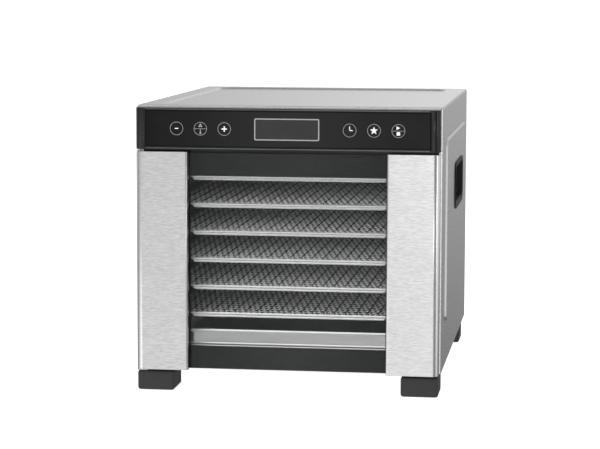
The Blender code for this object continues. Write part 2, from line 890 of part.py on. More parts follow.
def make_tray(number, top):
    """A wire-mesh tray: a flat border with front and back lips, and the mesh inside it."""
    body = group(f"tray_{number}", (0, TRAY_FRONT_Y, top))
    x, y0, y1 = TRAY_WIDTH / 2, TRAY_FRONT_Y, TRAY_FRONT_Y + TRAY_DEPTH
    outer = rectangle((-x, y0), (x, y1), 10 * MM, 2)
    frame = prism(
        f"tray_frame_{number}", outer, "z", top - SHEET, top, "mesh_steel", body
    )
    b = TRAY_BORDER
    window = prism(
        "window",
        rectangle((-x + b, y0 + b), (x - b, y1 - b)),
        "z",
        top - 2 * SHEET,
        top + SHEET,
    )
    cut(frame, window)
    half = 110 * MM
    for start, end in ((y0, y0 + SHEET), (y1 - SHEET, y1)):
        lip = prism(
            "lip", lip_outline(top - 0.5 * SHEET, top - TRAY_LIP_HEIGHT, half), "y", start, end
        )
        join(frame, lip)
    smooth(frame)
    make_tray_mesh(number, top, body)


def make_tray_mesh(number, top, body):
    """The wire mesh as a plate with large openings, which keeps its outline and place."""
    columns, rows, bar = 6, 4, 5 * MM
    x = TRAY_WIDTH / 2 - TRAY_BORDER - GAP
    y0 = TRAY_FRONT_Y + TRAY_BORDER + GAP
    y1 = TRAY_FRONT_Y + TRAY_DEPTH - TRAY_BORDER - GAP
    plate = box(
        f"tray_mesh_{number}", (-x, y0, top - SHEET), (x, y1, top), "mesh_steel", body
    )
    cell_x = (2 * x - bar) / columns
    cell_y = (y1 - y0 - bar) / rows
    holes = []
    for i in range(columns):
        for j in range(rows):
            low_x = -x + bar + i * cell_x
            low_y = y0 + bar + j * cell_y
            holes.append(
                box(
                    "opening",
                    (low_x, low_y, top - 2 * SHEET),
                    (low_x + cell_x - bar, low_y + cell_y - bar, top + SHEET),
                )
            )
    cut(plate, *holes)


def make_drip_tray():
    """A closed tray under the lowest mesh tray, with an upright rim all round."""
    body = group("drip_tray_slide", (0, TRAY_FRONT_Y, DRIP_FLOOR_Z))
    x, y0, y1 = TRAY_WIDTH / 2, TRAY_FRONT_Y, TRAY_FRONT_Y + TRAY_DEPTH
    low = DRIP_FLOOR_Z - SHEET
    tray = prism(
        "drip_tray",
        rectangle((-x, y0), (x, y1), 6 * MM, 2),
        "z",
        low,
        DRIP_FLOOR_Z + DRIP_RIM,
        "polished_steel",
        body,
    )
    well = prism(
        "well",
        rectangle((-x + SHEET, y0 + SHEET), (x - SHEET, y1 - SHEET), 5 * MM, 2),
        "z",
        DRIP_FLOOR_Z,
        DRIP_FLOOR_Z + 2 * DRIP_RIM,
    )
    smooth(cut(tray, well))


# ---------------------------------------------------------------- fan and heater

MOTOR_RADIUS = 28 * MM


def make_fan():
    """A hub with six pitched blades on the motor's shaft."""
    body = group("fan_spin", (0, CHAMBER_BACK_Y + 20 * MM, FAN_AXIS_Z))
    centre = (0, FAN_AXIS_Z)
    front = CHAMBER_BACK_Y + 10 * MM
    hub_radius, blade_count, pitch = 15 * MM, 6, 32
    rotor = rod("fan_rotor", centre, "y", hub_radius, front, front + 20 * MM, "fan_blade", body)
    for i in range(blade_count):
        blade = box(
            "blade",
            (-11 * MM, -0.9 * MM, hub_radius - 4 * MM),
            (11 * MM, 0.9 * MM, FAN_RADIUS),
        )
        turn = Matrix.Rotation(math.radians(360 * i / blade_count), 4, "Y")
        lean = Matrix.Rotation(math.radians(pitch), 4, "Z")
        place = Matrix.Translation((0, front + 10 * MM, FAN_AXIS_Z))
        blade.data.transform(place @ turn @ lean)
        join(rotor, blade)
    bore = rod(
        "bore", centre, "y", SHAFT_RADIUS + GAP, front - MM, front + 25 * MM, sides=16
    )
    smooth(cut(rotor, bore))
    rod(
        "motor_shaft", centre, "y", SHAFT_RADIUS, front - 2 * MM, BULKHEAD_Y + 24 * MM,
        "zinc_steel", body, sides=16,
    )


def make_motor():
    centre = (0, FAN_AXIS_Z)
    y0 = BULKHEAD_Y + SHEET + GAP
    motor = rod("fan_motor", centre, "y", MOTOR_RADIUS, y0, y0 + 34 * MM, "zinc_steel")
    ears = box(
        "ears",
        (-40 * MM, y0, FAN_AXIS_Z - 8 * MM),
        (40 * MM, y0 + 3 * MM, FAN_AXIS_Z + 8 * MM),
    )
    join(motor, ears)
    bore = rod(
        "bore", centre, "y", SHAFT_RADIUS + GAP, y0 - MM, BULKHEAD_Y + 24.6 * MM, sides=16
    )
    smooth(cut(motor, bore))


def heater_points():
    """The sheathed element: in through the bulkhead, once round the fan and out again."""
    ring_y, leg_y, leg_x = BULKHEAD_Y - 26 * MM, BULKHEAD_Y + 14 * MM, 14 * MM
    spread = math.degrees(math.asin(leg_x / HEATER_RADIUS))
    bottom = FAN_AXIS_Z - HEATER_RADIUS
    points = [(-leg_x, leg_y, bottom), (-leg_x, ring_y + 12 * MM, bottom)]
    points += [(-leg_x - 2 * MM, ring_y + 4 * MM, bottom + 0.2 * MM)]
    ring = arc((0, FAN_AXIS_Z), HEATER_RADIUS, 270 - spread - 5, -90 + spread + 5, 40)
    points += [(x, ring_y, z) for x, z in ring]
    points += [(leg_x + 2 * MM, ring_y + 4 * MM, bottom + 0.2 * MM)]
    points += [(leg_x, ring_y + 12 * MM, bottom), (leg_x, leg_y, bottom)]
    return points


def make_heater():
    curve = bpy.data.curves.new("heating_element", "CURVE")
    curve.dimensions = "3D"
    curve.bevel_depth = 3.6 * MM
    curve.bevel_resolution = 2
    curve.use_fill_caps = True
    spline = curve.splines.new("POLY")
    points = heater_points()
    spline.points.add(len(points) - 1)
    for target, point in zip(spline.points, points):
        target.co = (*point, 1)
    curve.materials.append(material("heater_sheath"))
    obj = bpy.data.objects.new("heating_element", curve)
    bpy.context.scene.collection.objects.link(obj)


def make_bulkhead():
    half, low, high = 158 * MM, 34 * MM, CHAMBER_TOP + 5 * MM
    plate = box(
        "rear_bulkhead",
        (-half, BULKHEAD_Y, low),
        (half, BULKHEAD_Y + SHEET, high),
        "zinc_steel",
    )
    holes = [(0, FAN_AXIS_Z, 6 * MM)]
    holes += [(x * MM, FAN_AXIS_Z - HEATER_RADIUS, 5 * MM) for x in (-14, 14)]
    tools = [
        rod("hole", (x, z), "y", r, BULKHEAD_Y - MM, BULKHEAD_Y + 3 * MM, sides=16)
        for x, z, r in holes
    ]
    intake = [
        box(
            "slot",
            (x * MM - 16 * MM, BULKHEAD_Y - MM, FAN_AXIS_Z + z * MM - 4 * MM),
            (x * MM + 16 * MM, BULKHEAD_Y + 3 * MM, FAN_AXIS_Z + z * MM + 4 * MM),
        )
        for x in (-62, 62)
        for z in (-24, 24)
    ]
    cut(plate, *tools, *intake)


def make_heat_controls():
    """The thermal cut-out on the bulkhead and the air sensor above the trays."""
    rod(
        "thermal_cutout",
        (70 * MM, FAN_AXIS_Z - 75 * MM),
        "y",
        8 * MM,
        BULKHEAD_Y + SHEET + GAP,
        BULKHEAD_Y + 9 * MM,
        "black_plastic",
    )
    rod(
        "air_sensor",
        (60 * MM, CHAMBER_TOP - 6 * MM),
        "y",
        2 * MM,
        CHAMBER_BACK_Y + 6 * MM,
        BULKHEAD_Y - 2 * MM,
        "zinc_steel",
        sides=12,
    )


def make_mains_inlet():
    """A three-pin appliance inlet in the back, with its socket open to the rear."""
    x, z = INLET_CENTRE
    panel_back = REAR_Y - REAR_SETBACK
    half_w, half_h = INLET_BODY
    flange = rectangle((x - 24 * MM, z - 14 * MM), (x + 24 * MM, z + 14 * MM), 4 * MM)
    shell = prism(
        "mains_inlet",
        flange,
        "y",
        panel_back + GAP,
        panel_back + 3 * MM,
        "black_plastic",
    )
    body = box(
        "body",
        (x - half_w, panel_back - 24 * MM, z - half_h),
        (x + half_w, panel_back + 2 * MM, z + half_h),
    )
    join(shell, body)
    socket = [
        (x - 12 * MM, z - 8 * MM),
        (x + 12 * MM, z - 8 * MM),
        (x + 12 * MM, z + 3.5 * MM),
        (x + 7.5 * MM, z + 8 * MM),
        (x - 7.5 * MM, z + 8 * MM),
        (x - 12 * MM, z + 3.5 * MM),
    ]
    well = prism("socket", socket, "y", panel_back - 17 * MM, panel_back + 5 * MM)
    cut(shell, well)
    pins = ((-7, -1.5), (7, -1.5), (0, 3))
    for dx, dz in pins:
        blade = box(
            "pin",
            (x + (dx - 1) * MM, panel_back - 19 * MM, z + (dz - 2) * MM),
            (x + (dx + 1) * MM, panel_back - 2 * MM, z + (dz + 2) * MM),
        )
        join(shell, blade)


def main():
    clear_scene()
    make_casing()
    make_base_plate()
    make_rear_panel()
    make_rear_screws()
    make_feet()
    make_control_frame()
    make_control_glass()
    make_electronics()
    make_hand_grips()
    make_front_frame()
    make_catch_plate()
    make_chamber()
    make_tray_racks()
    for k in range(TRAY_COUNT):
        make_tray(k + 1, TOP_TRAY_Z - k * TRAY_PITCH)
    make_drip_tray()
    make_bulkhead()
    make_fan()
    make_motor()
    make_heater()
    make_heat_controls()
    make_mains_inlet()
    make_hinge()
    make_door(group("door_swing", (HINGE_X, HINGE_Y, DOOR_BOTTOM)))


main()
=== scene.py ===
"""Looks of the box food dehydrator: woven trays, printed panel, steel, glass and light."""

import math

import bmesh
import bpy
from mathutils import Euler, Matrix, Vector


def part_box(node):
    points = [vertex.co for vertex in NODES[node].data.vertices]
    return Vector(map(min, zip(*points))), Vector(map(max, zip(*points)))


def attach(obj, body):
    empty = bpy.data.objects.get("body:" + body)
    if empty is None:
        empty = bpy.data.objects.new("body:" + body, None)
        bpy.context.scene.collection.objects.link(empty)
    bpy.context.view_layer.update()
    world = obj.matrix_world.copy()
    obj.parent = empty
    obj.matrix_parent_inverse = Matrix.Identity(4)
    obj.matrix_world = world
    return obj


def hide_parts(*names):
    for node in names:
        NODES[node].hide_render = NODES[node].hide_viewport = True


MM = 0.001
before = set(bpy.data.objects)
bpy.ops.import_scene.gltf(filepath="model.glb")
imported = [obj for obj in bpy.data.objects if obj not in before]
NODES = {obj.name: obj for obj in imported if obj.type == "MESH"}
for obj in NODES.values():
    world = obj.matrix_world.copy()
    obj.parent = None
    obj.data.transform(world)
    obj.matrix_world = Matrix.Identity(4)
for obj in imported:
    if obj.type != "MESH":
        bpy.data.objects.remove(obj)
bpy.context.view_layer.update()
TRAYS = range(1, 7)


# ---------------------------------------------------------------- camera and light

CAMERA_AT = (0.3349, -2.5257, 0.4564)
CAMERA_TURN = (90 - 6.49, -0.15, 7.92)  # degrees about X, Y and Z
CAMERA_LENS = 126.2
SENSOR_WIDTH = 36
FLOOR_SIZE = 200
FLOOR_DROP = 0.5 * MM  # below the feet, so that their faces don't fight the floor's
FLOOR_GREY = 0.93
FLOOR_ROUGHNESS = 0.9
FLOOR_GLOW = 0.85  # keeps the floor white where the object shades it
FRONT_AIM = (0, -0.2, 0.10)
SOFTBOXES = {  # name: (place, point that it faces, width and height, watts, seen in gloss)
    "key_light": ((-1.5, -2.1, 0.7), FRONT_AIM, (1.6, 1.6), 25, False),
    "low_fill": ((0.48, -2.7, 0.30), FRONT_AIM, (0.5, 0.4), 4, True),
    "edge_light": ((2.2, -1.6, 0.7), (0.17, -0.1, 0.2), (0.25, 1.6), 8, True),
    "top_light": ((0.0, -0.35, 2.4), (0, -0.2, 0.2), (2.4, 1.4), 14, True),
}


def add_camera():
    camera = bpy.data.objects.new("camera", bpy.data.cameras.new("camera"))
    camera.data.lens = CAMERA_LENS
    camera.data.sensor_width = SENSOR_WIDTH
    camera.location = CAMERA_AT
    camera.rotation_euler = Euler([math.radians(a) for a in CAMERA_TURN], "XYZ")
    bpy.context.scene.collection.objects.link(camera)
    bpy.context.scene.camera = camera


def add_softboxes():
    """Rectangular area lights. Gloss doesn't show the key light, because its mirror image
    would turn the top white in views from behind.
    """
    for name, (place, aim, size, watts, in_gloss) in SOFTBOXES.items():
        light = bpy.data.lights.new(name, "AREA")
        light.shape = "RECTANGLE"
        light.size, light.size_y = size
        light.energy = watts
        lamp = bpy.data.objects.new(name, light)
        lamp.location = place
        direction = Vector(aim) - Vector(place)
        lamp.rotation_euler = direction.to_track_quat("-Z", "Y").to_euler()
        lamp.visible_glossy = in_gloss
        bpy.context.scene.collection.objects.link(lamp)


# How light the room is in front of the object and behind it. Each pair is a part of the
# direction, from -1 to 1, and a share of the level: X for ACROSS and Z for UPWARDS.
FRONT_ACROSS = (
    (-1.0, 0.12), (-0.85, 0.5), (-0.5, 1.0), (-0.21, 0.3), (-0.14, 1.0), (-0.09, 0.5),
    (-0.04, 0.8), (0.08, 0.88), (0.3, 0.15), (0.75, 0.12), (0.92, 1.0),
)
FRONT_UPWARDS = ((-1.0, 1.0), (-0.35, 1.0), (0.1, 0.5), (1.0, 0.45))
FRONT_LEVEL = 1.95
BACK_ACROSS = (
    (-1.0, 0.8), (-0.5, 0.6), (-0.2, 0.62), (-0.08, 0.9), (0.0, 1.0), (0.03, 0.98),
    (0.1, 0.62), (0.5, 0.62), (1.0, 0.8),
)
BACK_UPWARDS = ((-1.0, 0.3), (-0.2, 0.29), (0.05, 0.98), (0.75, 0.9), (0.88, 0.3), (1.0, 0.25))
BACK_LEVEL = 1.2
ROOM_BLEND = 0.5  # the front room fades into the back room over this much of Y, each way


def direction_ramp(tree, output, stops):
    """A grey ramp along one part of the direction."""
    spread = tree.add("ShaderNodeMapRange")
    spread.inputs["From Min"].default_value = -1
    tree.link(output, spread.inputs["Value"])
    ramp = tree.ramp([((place + 1) / 2, grey(value)) for place, value in stops])
    tree.link(spread.outputs[0], ramp.inputs[0])
    return ramp


def add_world():
    """A room with light and dark panels, as a photographer sets up round bright metal."""
    world = bpy.data.worlds.new("studio")
    world.use_nodes = True
    bpy.context.scene.world = world
    tree = Nodes(world.node_tree)
    background = world.node_tree.nodes["Background"]
    direction = tree.add("ShaderNodeTexCoord")
    split = tree.add("ShaderNodeSeparateXYZ")
    tree.link(direction.outputs["Generated"], split.inputs[0])
    behind = tree.add("ShaderNodeMapRange")
    behind.inputs["From Min"].default_value = -ROOM_BLEND
    behind.inputs["From Max"].default_value = ROOM_BLEND
    tree.link(split.outputs["Y"], behind.inputs["Value"])
    for target, parts in {
        "Color": (("X", FRONT_ACROSS, 1.0), ("X", BACK_ACROSS, 1.0)),
        "Strength": (("Z", FRONT_UPWARDS, FRONT_LEVEL), ("Z", BACK_UPWARDS, BACK_LEVEL)),
    }.items():
        blend = tree.add("ShaderNodeMix")
        tree.link(behind.outputs[0], blend.inputs["Factor"])
        for (axis, stops, level), side in zip(parts, "AB"):
            ramp = direction_ramp(tree, split.outputs[axis], stops)
            scale = tree.add("ShaderNodeMath", operation="MULTIPLY")
            scale.inputs[1].default_value = level
            tree.link(ramp.outputs[0], scale.inputs[0])
            tree.link(scale.outputs[0], blend.inputs[side])
        tree.link(blend.outputs["Result"], background.inputs[target])


def add_floor():
    bpy.ops.mesh.primitive_plane_add(size=FLOOR_SIZE, location=(0, 0, -FLOOR_DROP))
    floor = bpy.context.object
    floor.visible_glossy = False
    floor.name = "studio_floor"
    paint, _, shader = start("studio_floor", FLOOR_ROUGHNESS, 0.0)
    shader.inputs["Base Color"].default_value = grey(FLOOR_GREY)
    shader.inputs["Emission Color"].default_value = grey(1.0)
    shader.inputs["Emission Strength"].default_value = FLOOR_GLOW
    floor.data.materials.append(paint)


# ---------------------------------------------------------------- materials

NOISE_DETAIL = 3.0
GRAIN_STOPS = (0.3, 0.7)  # where the noise reaches the dark and the light grey
ROUGHNESS_SPREAD = 0.05  # each way, by the same noise
BRUSH_GRAIN = 1700
BRUSH_STRETCH = 10
BRUSH_BUMP = (0.10, 0.0001)  # strength and depth
WIRE_ROUGHNESS = 0.34
WIRE_METALLIC = 0.5
WIRE_TROUGH_PAINTED_SHADE = (0.22, 0.06)  # share of the wave's height, and the grey up to there: painted shade in the troughs
WIRE_CREST_PAINTED_HIGHLIGHT = (0.48, 1.0)  # the same, from there up: a painted highlight on the crests
GLASS_COLOUR = (0.05, 0.055, 0.055, 1)
GLASS_ALPHA = 0.08
GLASS_ROUGHNESS = 0.02
EVEN = (1, 1, 1)
BRUSHED = {  # finish: (material, axis, dark, light, roughness, shade seen edge-on)
    "steel_x": ("steel_brushed_x", "x", 0.55, 0.77, 0.30, 1.0),
    "steel_y": ("steel_brushed_y", "y", 0.50, 0.68, 0.26, 0.85),
}
GRAINED = {
    # finish: (material, dark, light, roughness, metallic, scale, stretch, bump, depth, tint)
    "liner": ("liner_steel", 0.24, 0.32, 0.32, 1.0, 60, (1, 6, 1), 0.03, 0.0002, EVEN),
    # the support wires' near-black grey is painted shade: it stands for dark lines along the
    # trays that come from lighting
    "painted_shade_rod": ("support_wire", 0.03, 0.07, 0.45, 1.0, 400, EVEN, 0.05, 0.0001, EVEN),
    "drip": ("drip_tray_steel", 0.45, 0.53, 0.22, 0.9, 90, (5, 1, 1), 0.02, 0.0001, EVEN),
    "trim": ("dark_chrome", 0.20, 0.26, 0.20, 1.0, 300, (6, 1, 1), 0.02, 0.0001, EVEN),
    "rim": ("rim_steel", 0.94, 1.0, 0.24, 0.6, 300, (9, 1, 1), 0.05, 0.0001, EVEN),
    "zinc": ("zinc_plate", 0.36, 0.52, 0.42, 1.0, 250, EVEN, 0.08, 0.0002, (1.0, 1.0, 1.01)),
    "black": ("satin_black", 0.006, 0.010, 0.24, 0.0, 1500, EVEN, 0.12, 0.0001, EVEN),
    "grip": ("grip_black", 0.008, 0.014, 0.5, 0.0, 1500, EVEN, 0.2, 0.0001, EVEN),
    "gloss": ("panel_gloss", 0.002, 0.003, 0.09, 0.0, 40, EVEN, 0.0, 0.0001, EVEN),
    "foot": ("foot_rubber", 0.030, 0.038, 0.55, 0.0, 1200, EVEN, 0.25, 0.0002, EVEN),
    "board": ("circuit_board", 0.02, 0.06, 0.45, 0.0, 500, EVEN, 0.1, 0.0002, (0.5, 2.2, 0.9)),
    "display": ("display", 0.008, 0.013, 0.2, 0.0, 30, EVEN, 0.0, 0.0001, EVEN),
    "fan": ("fan_alloy", 0.50, 0.62, 0.34, 1.0, 200, EVEN, 0.05, 0.0001, EVEN),
    "heater": ("heater_sheath", 0.10, 0.24, 0.5, 1.0, 120, EVEN, 0.15, 0.0003, (1, 0.93, 0.86)),
    "print": ("printed_ink", 0.26, 0.33, 0.5, 0.0, 800, EVEN, 0.0, 0.0001, EVEN),
    "bright_print": ("white_ink", 0.74, 0.84, 0.5, 0.0, 800, EVEN, 0.0, 0.0001, EVEN),
}
SPECULAR_LEVELS = {"black": 0.32, "grip": 0.11, "gloss": 0.3, "foot": 0.11}
NODE_FINISHES = {
    "casing": "steel_y",
    "rear_panel": "steel_x",
    "control_glass": "gloss",
    "display_module": "display",
    "control_board": "board",
    "power_board": "board",
    "fan_rotor": "fan",
    "heating_element": "heater",
    "door_glass": "glass",
    "drip_tray": "drip",
    "mains_inlet": "black",
    "thermal_cutout": "black",
    "control_frame": "black",
    "front_frame": "black",
}
FAMILY_FINISHES = {  # for every node whose name starts so
    "door_strip": "steel_x",
    "door_stile": "black",
    "hand_grip": "grip",
    "chamber": "liner",
    "tray_rack": "liner",
    "tray_mesh": "wire",
}
FEET = ("foot_front_left", "foot_front_right", "foot_rear_left", "foot_rear_right")


class Nodes:
    """Short calls for building a node tree."""

    def __init__(self, tree):
        self.tree = tree

    def add(self, kind, **settings):
        node = self.tree.nodes.new(kind)
        for name, value in settings.items():
            setattr(node, name, value)
        return node

    def link(self, output, target):
        self.tree.links.new(output, target)

    def ramp(self, stops):
        node = self.add("ShaderNodeValToRGB")
        elements = node.color_ramp.elements
        while len(elements) < len(stops):
            elements.new(0.5)
        for element, (position, colour) in zip(elements, stops):
            element.position = position
            element.color = colour
        return node

    def noise(self, scale, stretch):
        """Noise in the object's own frame, drawn out along each axis by stretch."""
        place = self.add("ShaderNodeTexCoord")
        mapping = self.add("ShaderNodeMapping")
        mapping.inputs["Scale"].default_value = [1 / s for s in stretch]
        self.link(place.outputs["Object"], mapping.inputs[0])
        node = self.add("ShaderNodeTexNoise")
        node.inputs["Scale"].default_value = scale
        node.inputs["Detail"].default_value = NOISE_DETAIL
        self.link(mapping.outputs[0], node.inputs["Vector"])
        return node


def start(name, roughness, metallic):
    """A new material, its node tree and its shader."""
    made = bpy.data.materials.new(name)
    made.use_nodes = True
    shader = made.node_tree.nodes["Principled BSDF"]
    shader.inputs["Roughness"].default_value = roughness
    shader.inputs["Metallic"].default_value = metallic
    return made, Nodes(made.node_tree), shader


def grey(value, tint=EVEN):
    return tuple(value * t for t in tint) + (1,)


def grained(name, dark, light, roughness, metallic, scale, stretch, bump, depth, tint):
    """A surface with grain: two greys mixed by noise, which also drives the bump."""
    made, tree, shader = start(name, roughness, metallic)
    grain = tree.noise(scale, stretch)
    ramp = tree.ramp(list(zip(GRAIN_STOPS, (grey(dark, tint), grey(light, tint)))))
    tree.link(grain.outputs["Fac"], ramp.inputs[0])
    tree.link(ramp.outputs[0], shader.inputs["Base Color"])
    rough = tree.add("ShaderNodeMapRange")
    rough.inputs["To Min"].default_value = roughness - ROUGHNESS_SPREAD
    rough.inputs["To Max"].default_value = roughness + ROUGHNESS_SPREAD
    tree.link(grain.outputs["Fac"], rough.inputs["Value"])
    tree.link(rough.outputs[0], shader.inputs["Roughness"])
    relief = tree.add("ShaderNodeBump")
    relief.inputs["Strength"].default_value = bump
    relief.inputs["Distance"].default_value = depth
    tree.link(grain.outputs["Fac"], relief.inputs["Height"])
    tree.link(relief.outputs[0], shader.inputs["Normal"])
    return made


def brushed(name, along, dark, light, roughness, grazing):
    """Steel brushed along one axis of the object. grazing is its shade seen edge-on."""
    stretch = [1, 1, 1]
    stretch["xyz".index(along)] = BRUSH_STRETCH
    made = grained(name, dark, light, roughness, 1.0, BRUSH_GRAIN, stretch, *BRUSH_BUMP, EVEN)
    shader = made.node_tree.nodes["Principled BSDF"]
    shader.inputs["Specular Tint"].default_value = grey(grazing)
    return made


def woven():
    """Wire whose grey follows its height in the weave: crests painted bright as a highlight,
    troughs painted dark as shade.
    """
    made, tree, shader = start("wire_steel_painted_highlight_and_shade", WIRE_ROUGHNESS, WIRE_METALLIC)
    place = tree.add("ShaderNodeTexCoord")
    split = tree.add("ShaderNodeSeparateXYZ")
    tree.link(place.outputs["Object"], split.inputs[0])
    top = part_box("tray_mesh_1")[1][2]
    # painted highlight and shade: the grey rises with the wire's height, from dark troughs to
    # bright crests
    rise = tree.add("ShaderNodeMapRange")
    rise.inputs["From Min"].default_value = top - 2 * WAVE_HEIGHT
    rise.inputs["From Max"].default_value = top
    tree.link(split.outputs["Z"], rise.inputs["Value"])
    ramp = tree.ramp([(place, grey(value)) for place, value in (WIRE_TROUGH_PAINTED_SHADE, WIRE_CREST_PAINTED_HIGHLIGHT)])
    tree.link(rise.outputs[0], ramp.inputs[0])
    tree.link(ramp.outputs[0], shader.inputs["Base Color"])
    return made


def glass():
    """Clear, lightly tinted glass. Alpha lets the light through to the trays."""
    made, _, shader = start("door_glass", GLASS_ROUGHNESS, 0.0)
    shader.inputs["Base Color"].default_value = GLASS_COLOUR
    shader.inputs["Alpha"].default_value = GLASS_ALPHA
    return made


def make_materials():
    """One material for each finish. Coated glass and textured plastic reflect less."""
    materials = {finish: brushed(*row) for finish, row in BRUSHED.items()}
    materials |= {finish: grained(*row) for finish, row in GRAINED.items()}
    for finish, level in SPECULAR_LEVELS.items():
        shader = materials[finish].node_tree.nodes["Principled BSDF"]
        shader.inputs["Specular IOR Level"].default_value = level
    materials["wire"] = woven()
    materials["glass"] = glass()
    return materials


def dress_nodes(materials):
    """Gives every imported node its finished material. Plain inner metal is zinc-plated."""
    for name, node in NODES.items():
        finish = "foot" if name in FEET else NODE_FINISHES.get(name, "zinc")
        for family, family_finish in FAMILY_FINISHES.items():
            if name.startswith(family):
                finish = family_finish
        node.data.materials.clear()
        node.data.materials.append(materials[finish])


# ---------------------------------------------------------------- mesh helpers


def add_piece(name, points, faces, material, body):
    mesh = bpy.data.meshes.new(name)
    mesh.from_pydata(points, [], faces)
    mesh.validate()
    mesh.update()
    mesh.materials.append(material)
    place_piece(name, mesh, body)


def place_piece(name, mesh, body, offset=(0, 0, 0)):
    piece = bpy.data.objects.new(name, mesh)
    piece.location = offset
    bpy.context.scene.collection.objects.link(piece)
    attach(piece, body)
    return piece


def slab(outline, y0, y1, first):
    """Points and faces of an outline in X and Z, extruded along Y. first numbers its points."""
    count = len(outline)
    points = [(x, y0, z) for x, z in outline] + [(x, y1, z) for x, z in outline]
    faces = [
        [first + i for i in range(count)],
        [first + count + i for i in reversed(range(count))],
    ]
    for i in range(count):
        j = (i + 1) % count
        faces.append([first + i, first + count + i, first + count + j, first + j])
    return points, faces


def band(outer, inner, y0, y1):
    """Points and faces of the closed strip between two outlines of equal length."""
    count = len(outer)
    points = []
    for y in (y0, y1):
        points += [(x, y, z) for x, z in outer] + [(x, y, z) for x, z in inner]
    faces = []
    for i in range(count):
        j = (i + 1) % count
        a, b, c, d = (k * count for k in range(4))
        faces.append([a + i, a + j, b + j, b + i])
        faces.append([c + j, c + i, d + i, d + j])
        faces.append([a + j, a + i, c + i, c + j])
        faces.append([b + i, b + j, d + j, d + i])
    return points, faces


def arc(centre, radius, start_angle, end_angle, steps):
    points = []
    for i in range(steps + 1):
        angle = math.radians(start_angle + (end_angle - start_angle) * i / steps)
        points.append(
            (centre[0] + radius * math.cos(angle), centre[1] + radius * math.sin(angle))
        )
    return points


def circle(centre, radius, sides=40):
    return arc(centre, radius, 0, 360 - 360 / sides, sides - 1)


def rectangle(low, high, corner=0.0):
    (x0, y0), (x1, y1) = low, high
    if corner <= 0:
        return [(x0, y0), (x1, y0), (x1, y1), (x0, y1)]
    c = corner
    return (
        arc((x1 - c, y0 + c), c, -90, 0, 4)
        + arc((x1 - c, y1 - c), c, 0, 90, 4)
        + arc((x0 + c, y1 - c), c, 90, 180, 4)
        + arc((x0 + c, y0 + c), c, 180, 270, 4)
    )


# ---------------------------------------------------------------- rounded edges

FLAT_ANGLE = math.radians(1)
SHARP_ANGLE = math.radians(35)
LARGE_FACE = 0.0006  # square metres: a face from this size up is flat
MERGE_DISTANCE = 0.01 * MM
# node: (width of the rounding, slot). The strips and the grips are thin, and their rounding
# stays under half the thickness, or the two edges of a sheet would run into each other.
ROUNDED = {
    "door_strip_left": (0.4 * MM, "brushed_steel"),
    "door_strip_right": (0.4 * MM, "brushed_steel"),
    "control_frame": (0.6 * MM, "black_plastic"),
    "hand_grip_left": (0.5 * MM, "black_plastic"),
    "hand_grip_right": (0.5 * MM, "black_plastic"),
}
ROUNDED |= {name: (1.2 * MM, "foot_rubber") for name in FEET}


def round_edges(name, width):
    """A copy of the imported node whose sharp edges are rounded, in the node's place."""
    node = NODES[name]
    shape = bmesh.new()
    shape.from_mesh(node.data)
    shape.transform(node.matrix_world)
    bmesh.ops.remove_doubles(shape, verts=shape.verts, dist=MERGE_DISTANCE)
    bmesh.ops.dissolve_limit(shape, angle_limit=FLAT_ANGLE, verts=shape.verts, edges=shape.edges)
    sharp = []
    for edge in shape.edges:
        angle = edge.calc_face_angle(0)
        if angle > SHARP_ANGLE:
            sharp.append(edge)
        elif angle > FLAT_ANGLE:
            for face in edge.link_faces:
                face.smooth = face.calc_area() < LARGE_FACE
    made = bmesh.ops.bevel(
        shape, geom=sharp, offset=width, offset_type="OFFSET", segments=2, profile=0.5,
        affect="EDGES", clamp_overlap=True,
    )
    for face in made["faces"]:
        face.smooth = True
    mesh = bpy.data.meshes.new(f"{name}_rounded")
    shape.to_mesh(mesh)
    shape.free()
    mesh.materials.append(node.data.materials[0])
    return mesh


def add_rounded_edges():
    """Rounded edges, which catch the light, on the pieces that the eye meets first."""
    for name, (width, slot) in ROUNDED.items():
        body = "door" if name.startswith("door") else "housing"
        piece = place_piece(f"{name}_rounded", round_edges(name, width), body)
        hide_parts(name)


# ---------------------------------------------------------------- wire trays

WIRE_RADIUS = 1.2 * MM
WIRE_FLATTENING = 0.45  # depth of a crimped wire as a share of its height
WAVE_HEIGHT = 1.0 * MM
WAVE_LENGTH = 6.3 * MM
WAVE_STEPS = 4  # points in each wave
ROW_PITCH = 15 * MM
SUPPORT_PITCH = 12.6 * MM  # straight wires that run from front to back
SUPPORT_RADIUS = 0.7 * MM
SUPPORT_RISE = 1.0 * MM
SUPPORT_END = 4 * MM  # end of a support wire over the front lip, painted bright as a highlight by the wire's height
WIRE_INSET = 0.8 * MM  # keeps the crimped wires' ends off the rack's ledges
LIP_WIRE_RADIUS = 0.95 * MM
LIP_WIRES = ((113 * MM, 0.4 * MM), (108 * MM, 3.6 * MM))  # half length, drop from the top
DRIP_WIRE_HALF = 113 * MM
DRIP_WIRE_RISES = (1.3 * MM, -1.6 * MM)  # over the underside of the drip tray
ROLLED_EDGE_RADIUS = 1.5 * MM


def add_wire(points, faces, path, radius, across, flat=1.0):
    """A four-sided wire along the path, which runs along X (across) or towards +Y. A wire
    across can be flattened from front to back.
    """
    first = len(points)
    for x, y, z in path:
        for a, b in ((radius, 0), (0, radius), (-radius, 0), (0, -radius)):
            points.append((x, y + a * flat, z + b) if across else (x - a, y, z + b))
    for i in range(len(path) - 1):
        for k in range(4):
            a = first + 4 * i + k
            b = first + 4 * i + (k + 1) % 4
            faces.append((a, b, b + 4, a + 4))
    faces.append([first + k for k in reversed(range(4))])
    faces.append([first + 4 * (len(path) - 1) + k for k in range(4)])


def support_places(low, high):
    """The X of each straight wire, evenly spaced about the middle."""
    middle = (low[0] + high[0]) / 2
    count = int((high[0] - low[0]) / 2 / SUPPORT_PITCH)
    return [middle + k * SUPPORT_PITCH for k in range(-count, count + 1)]


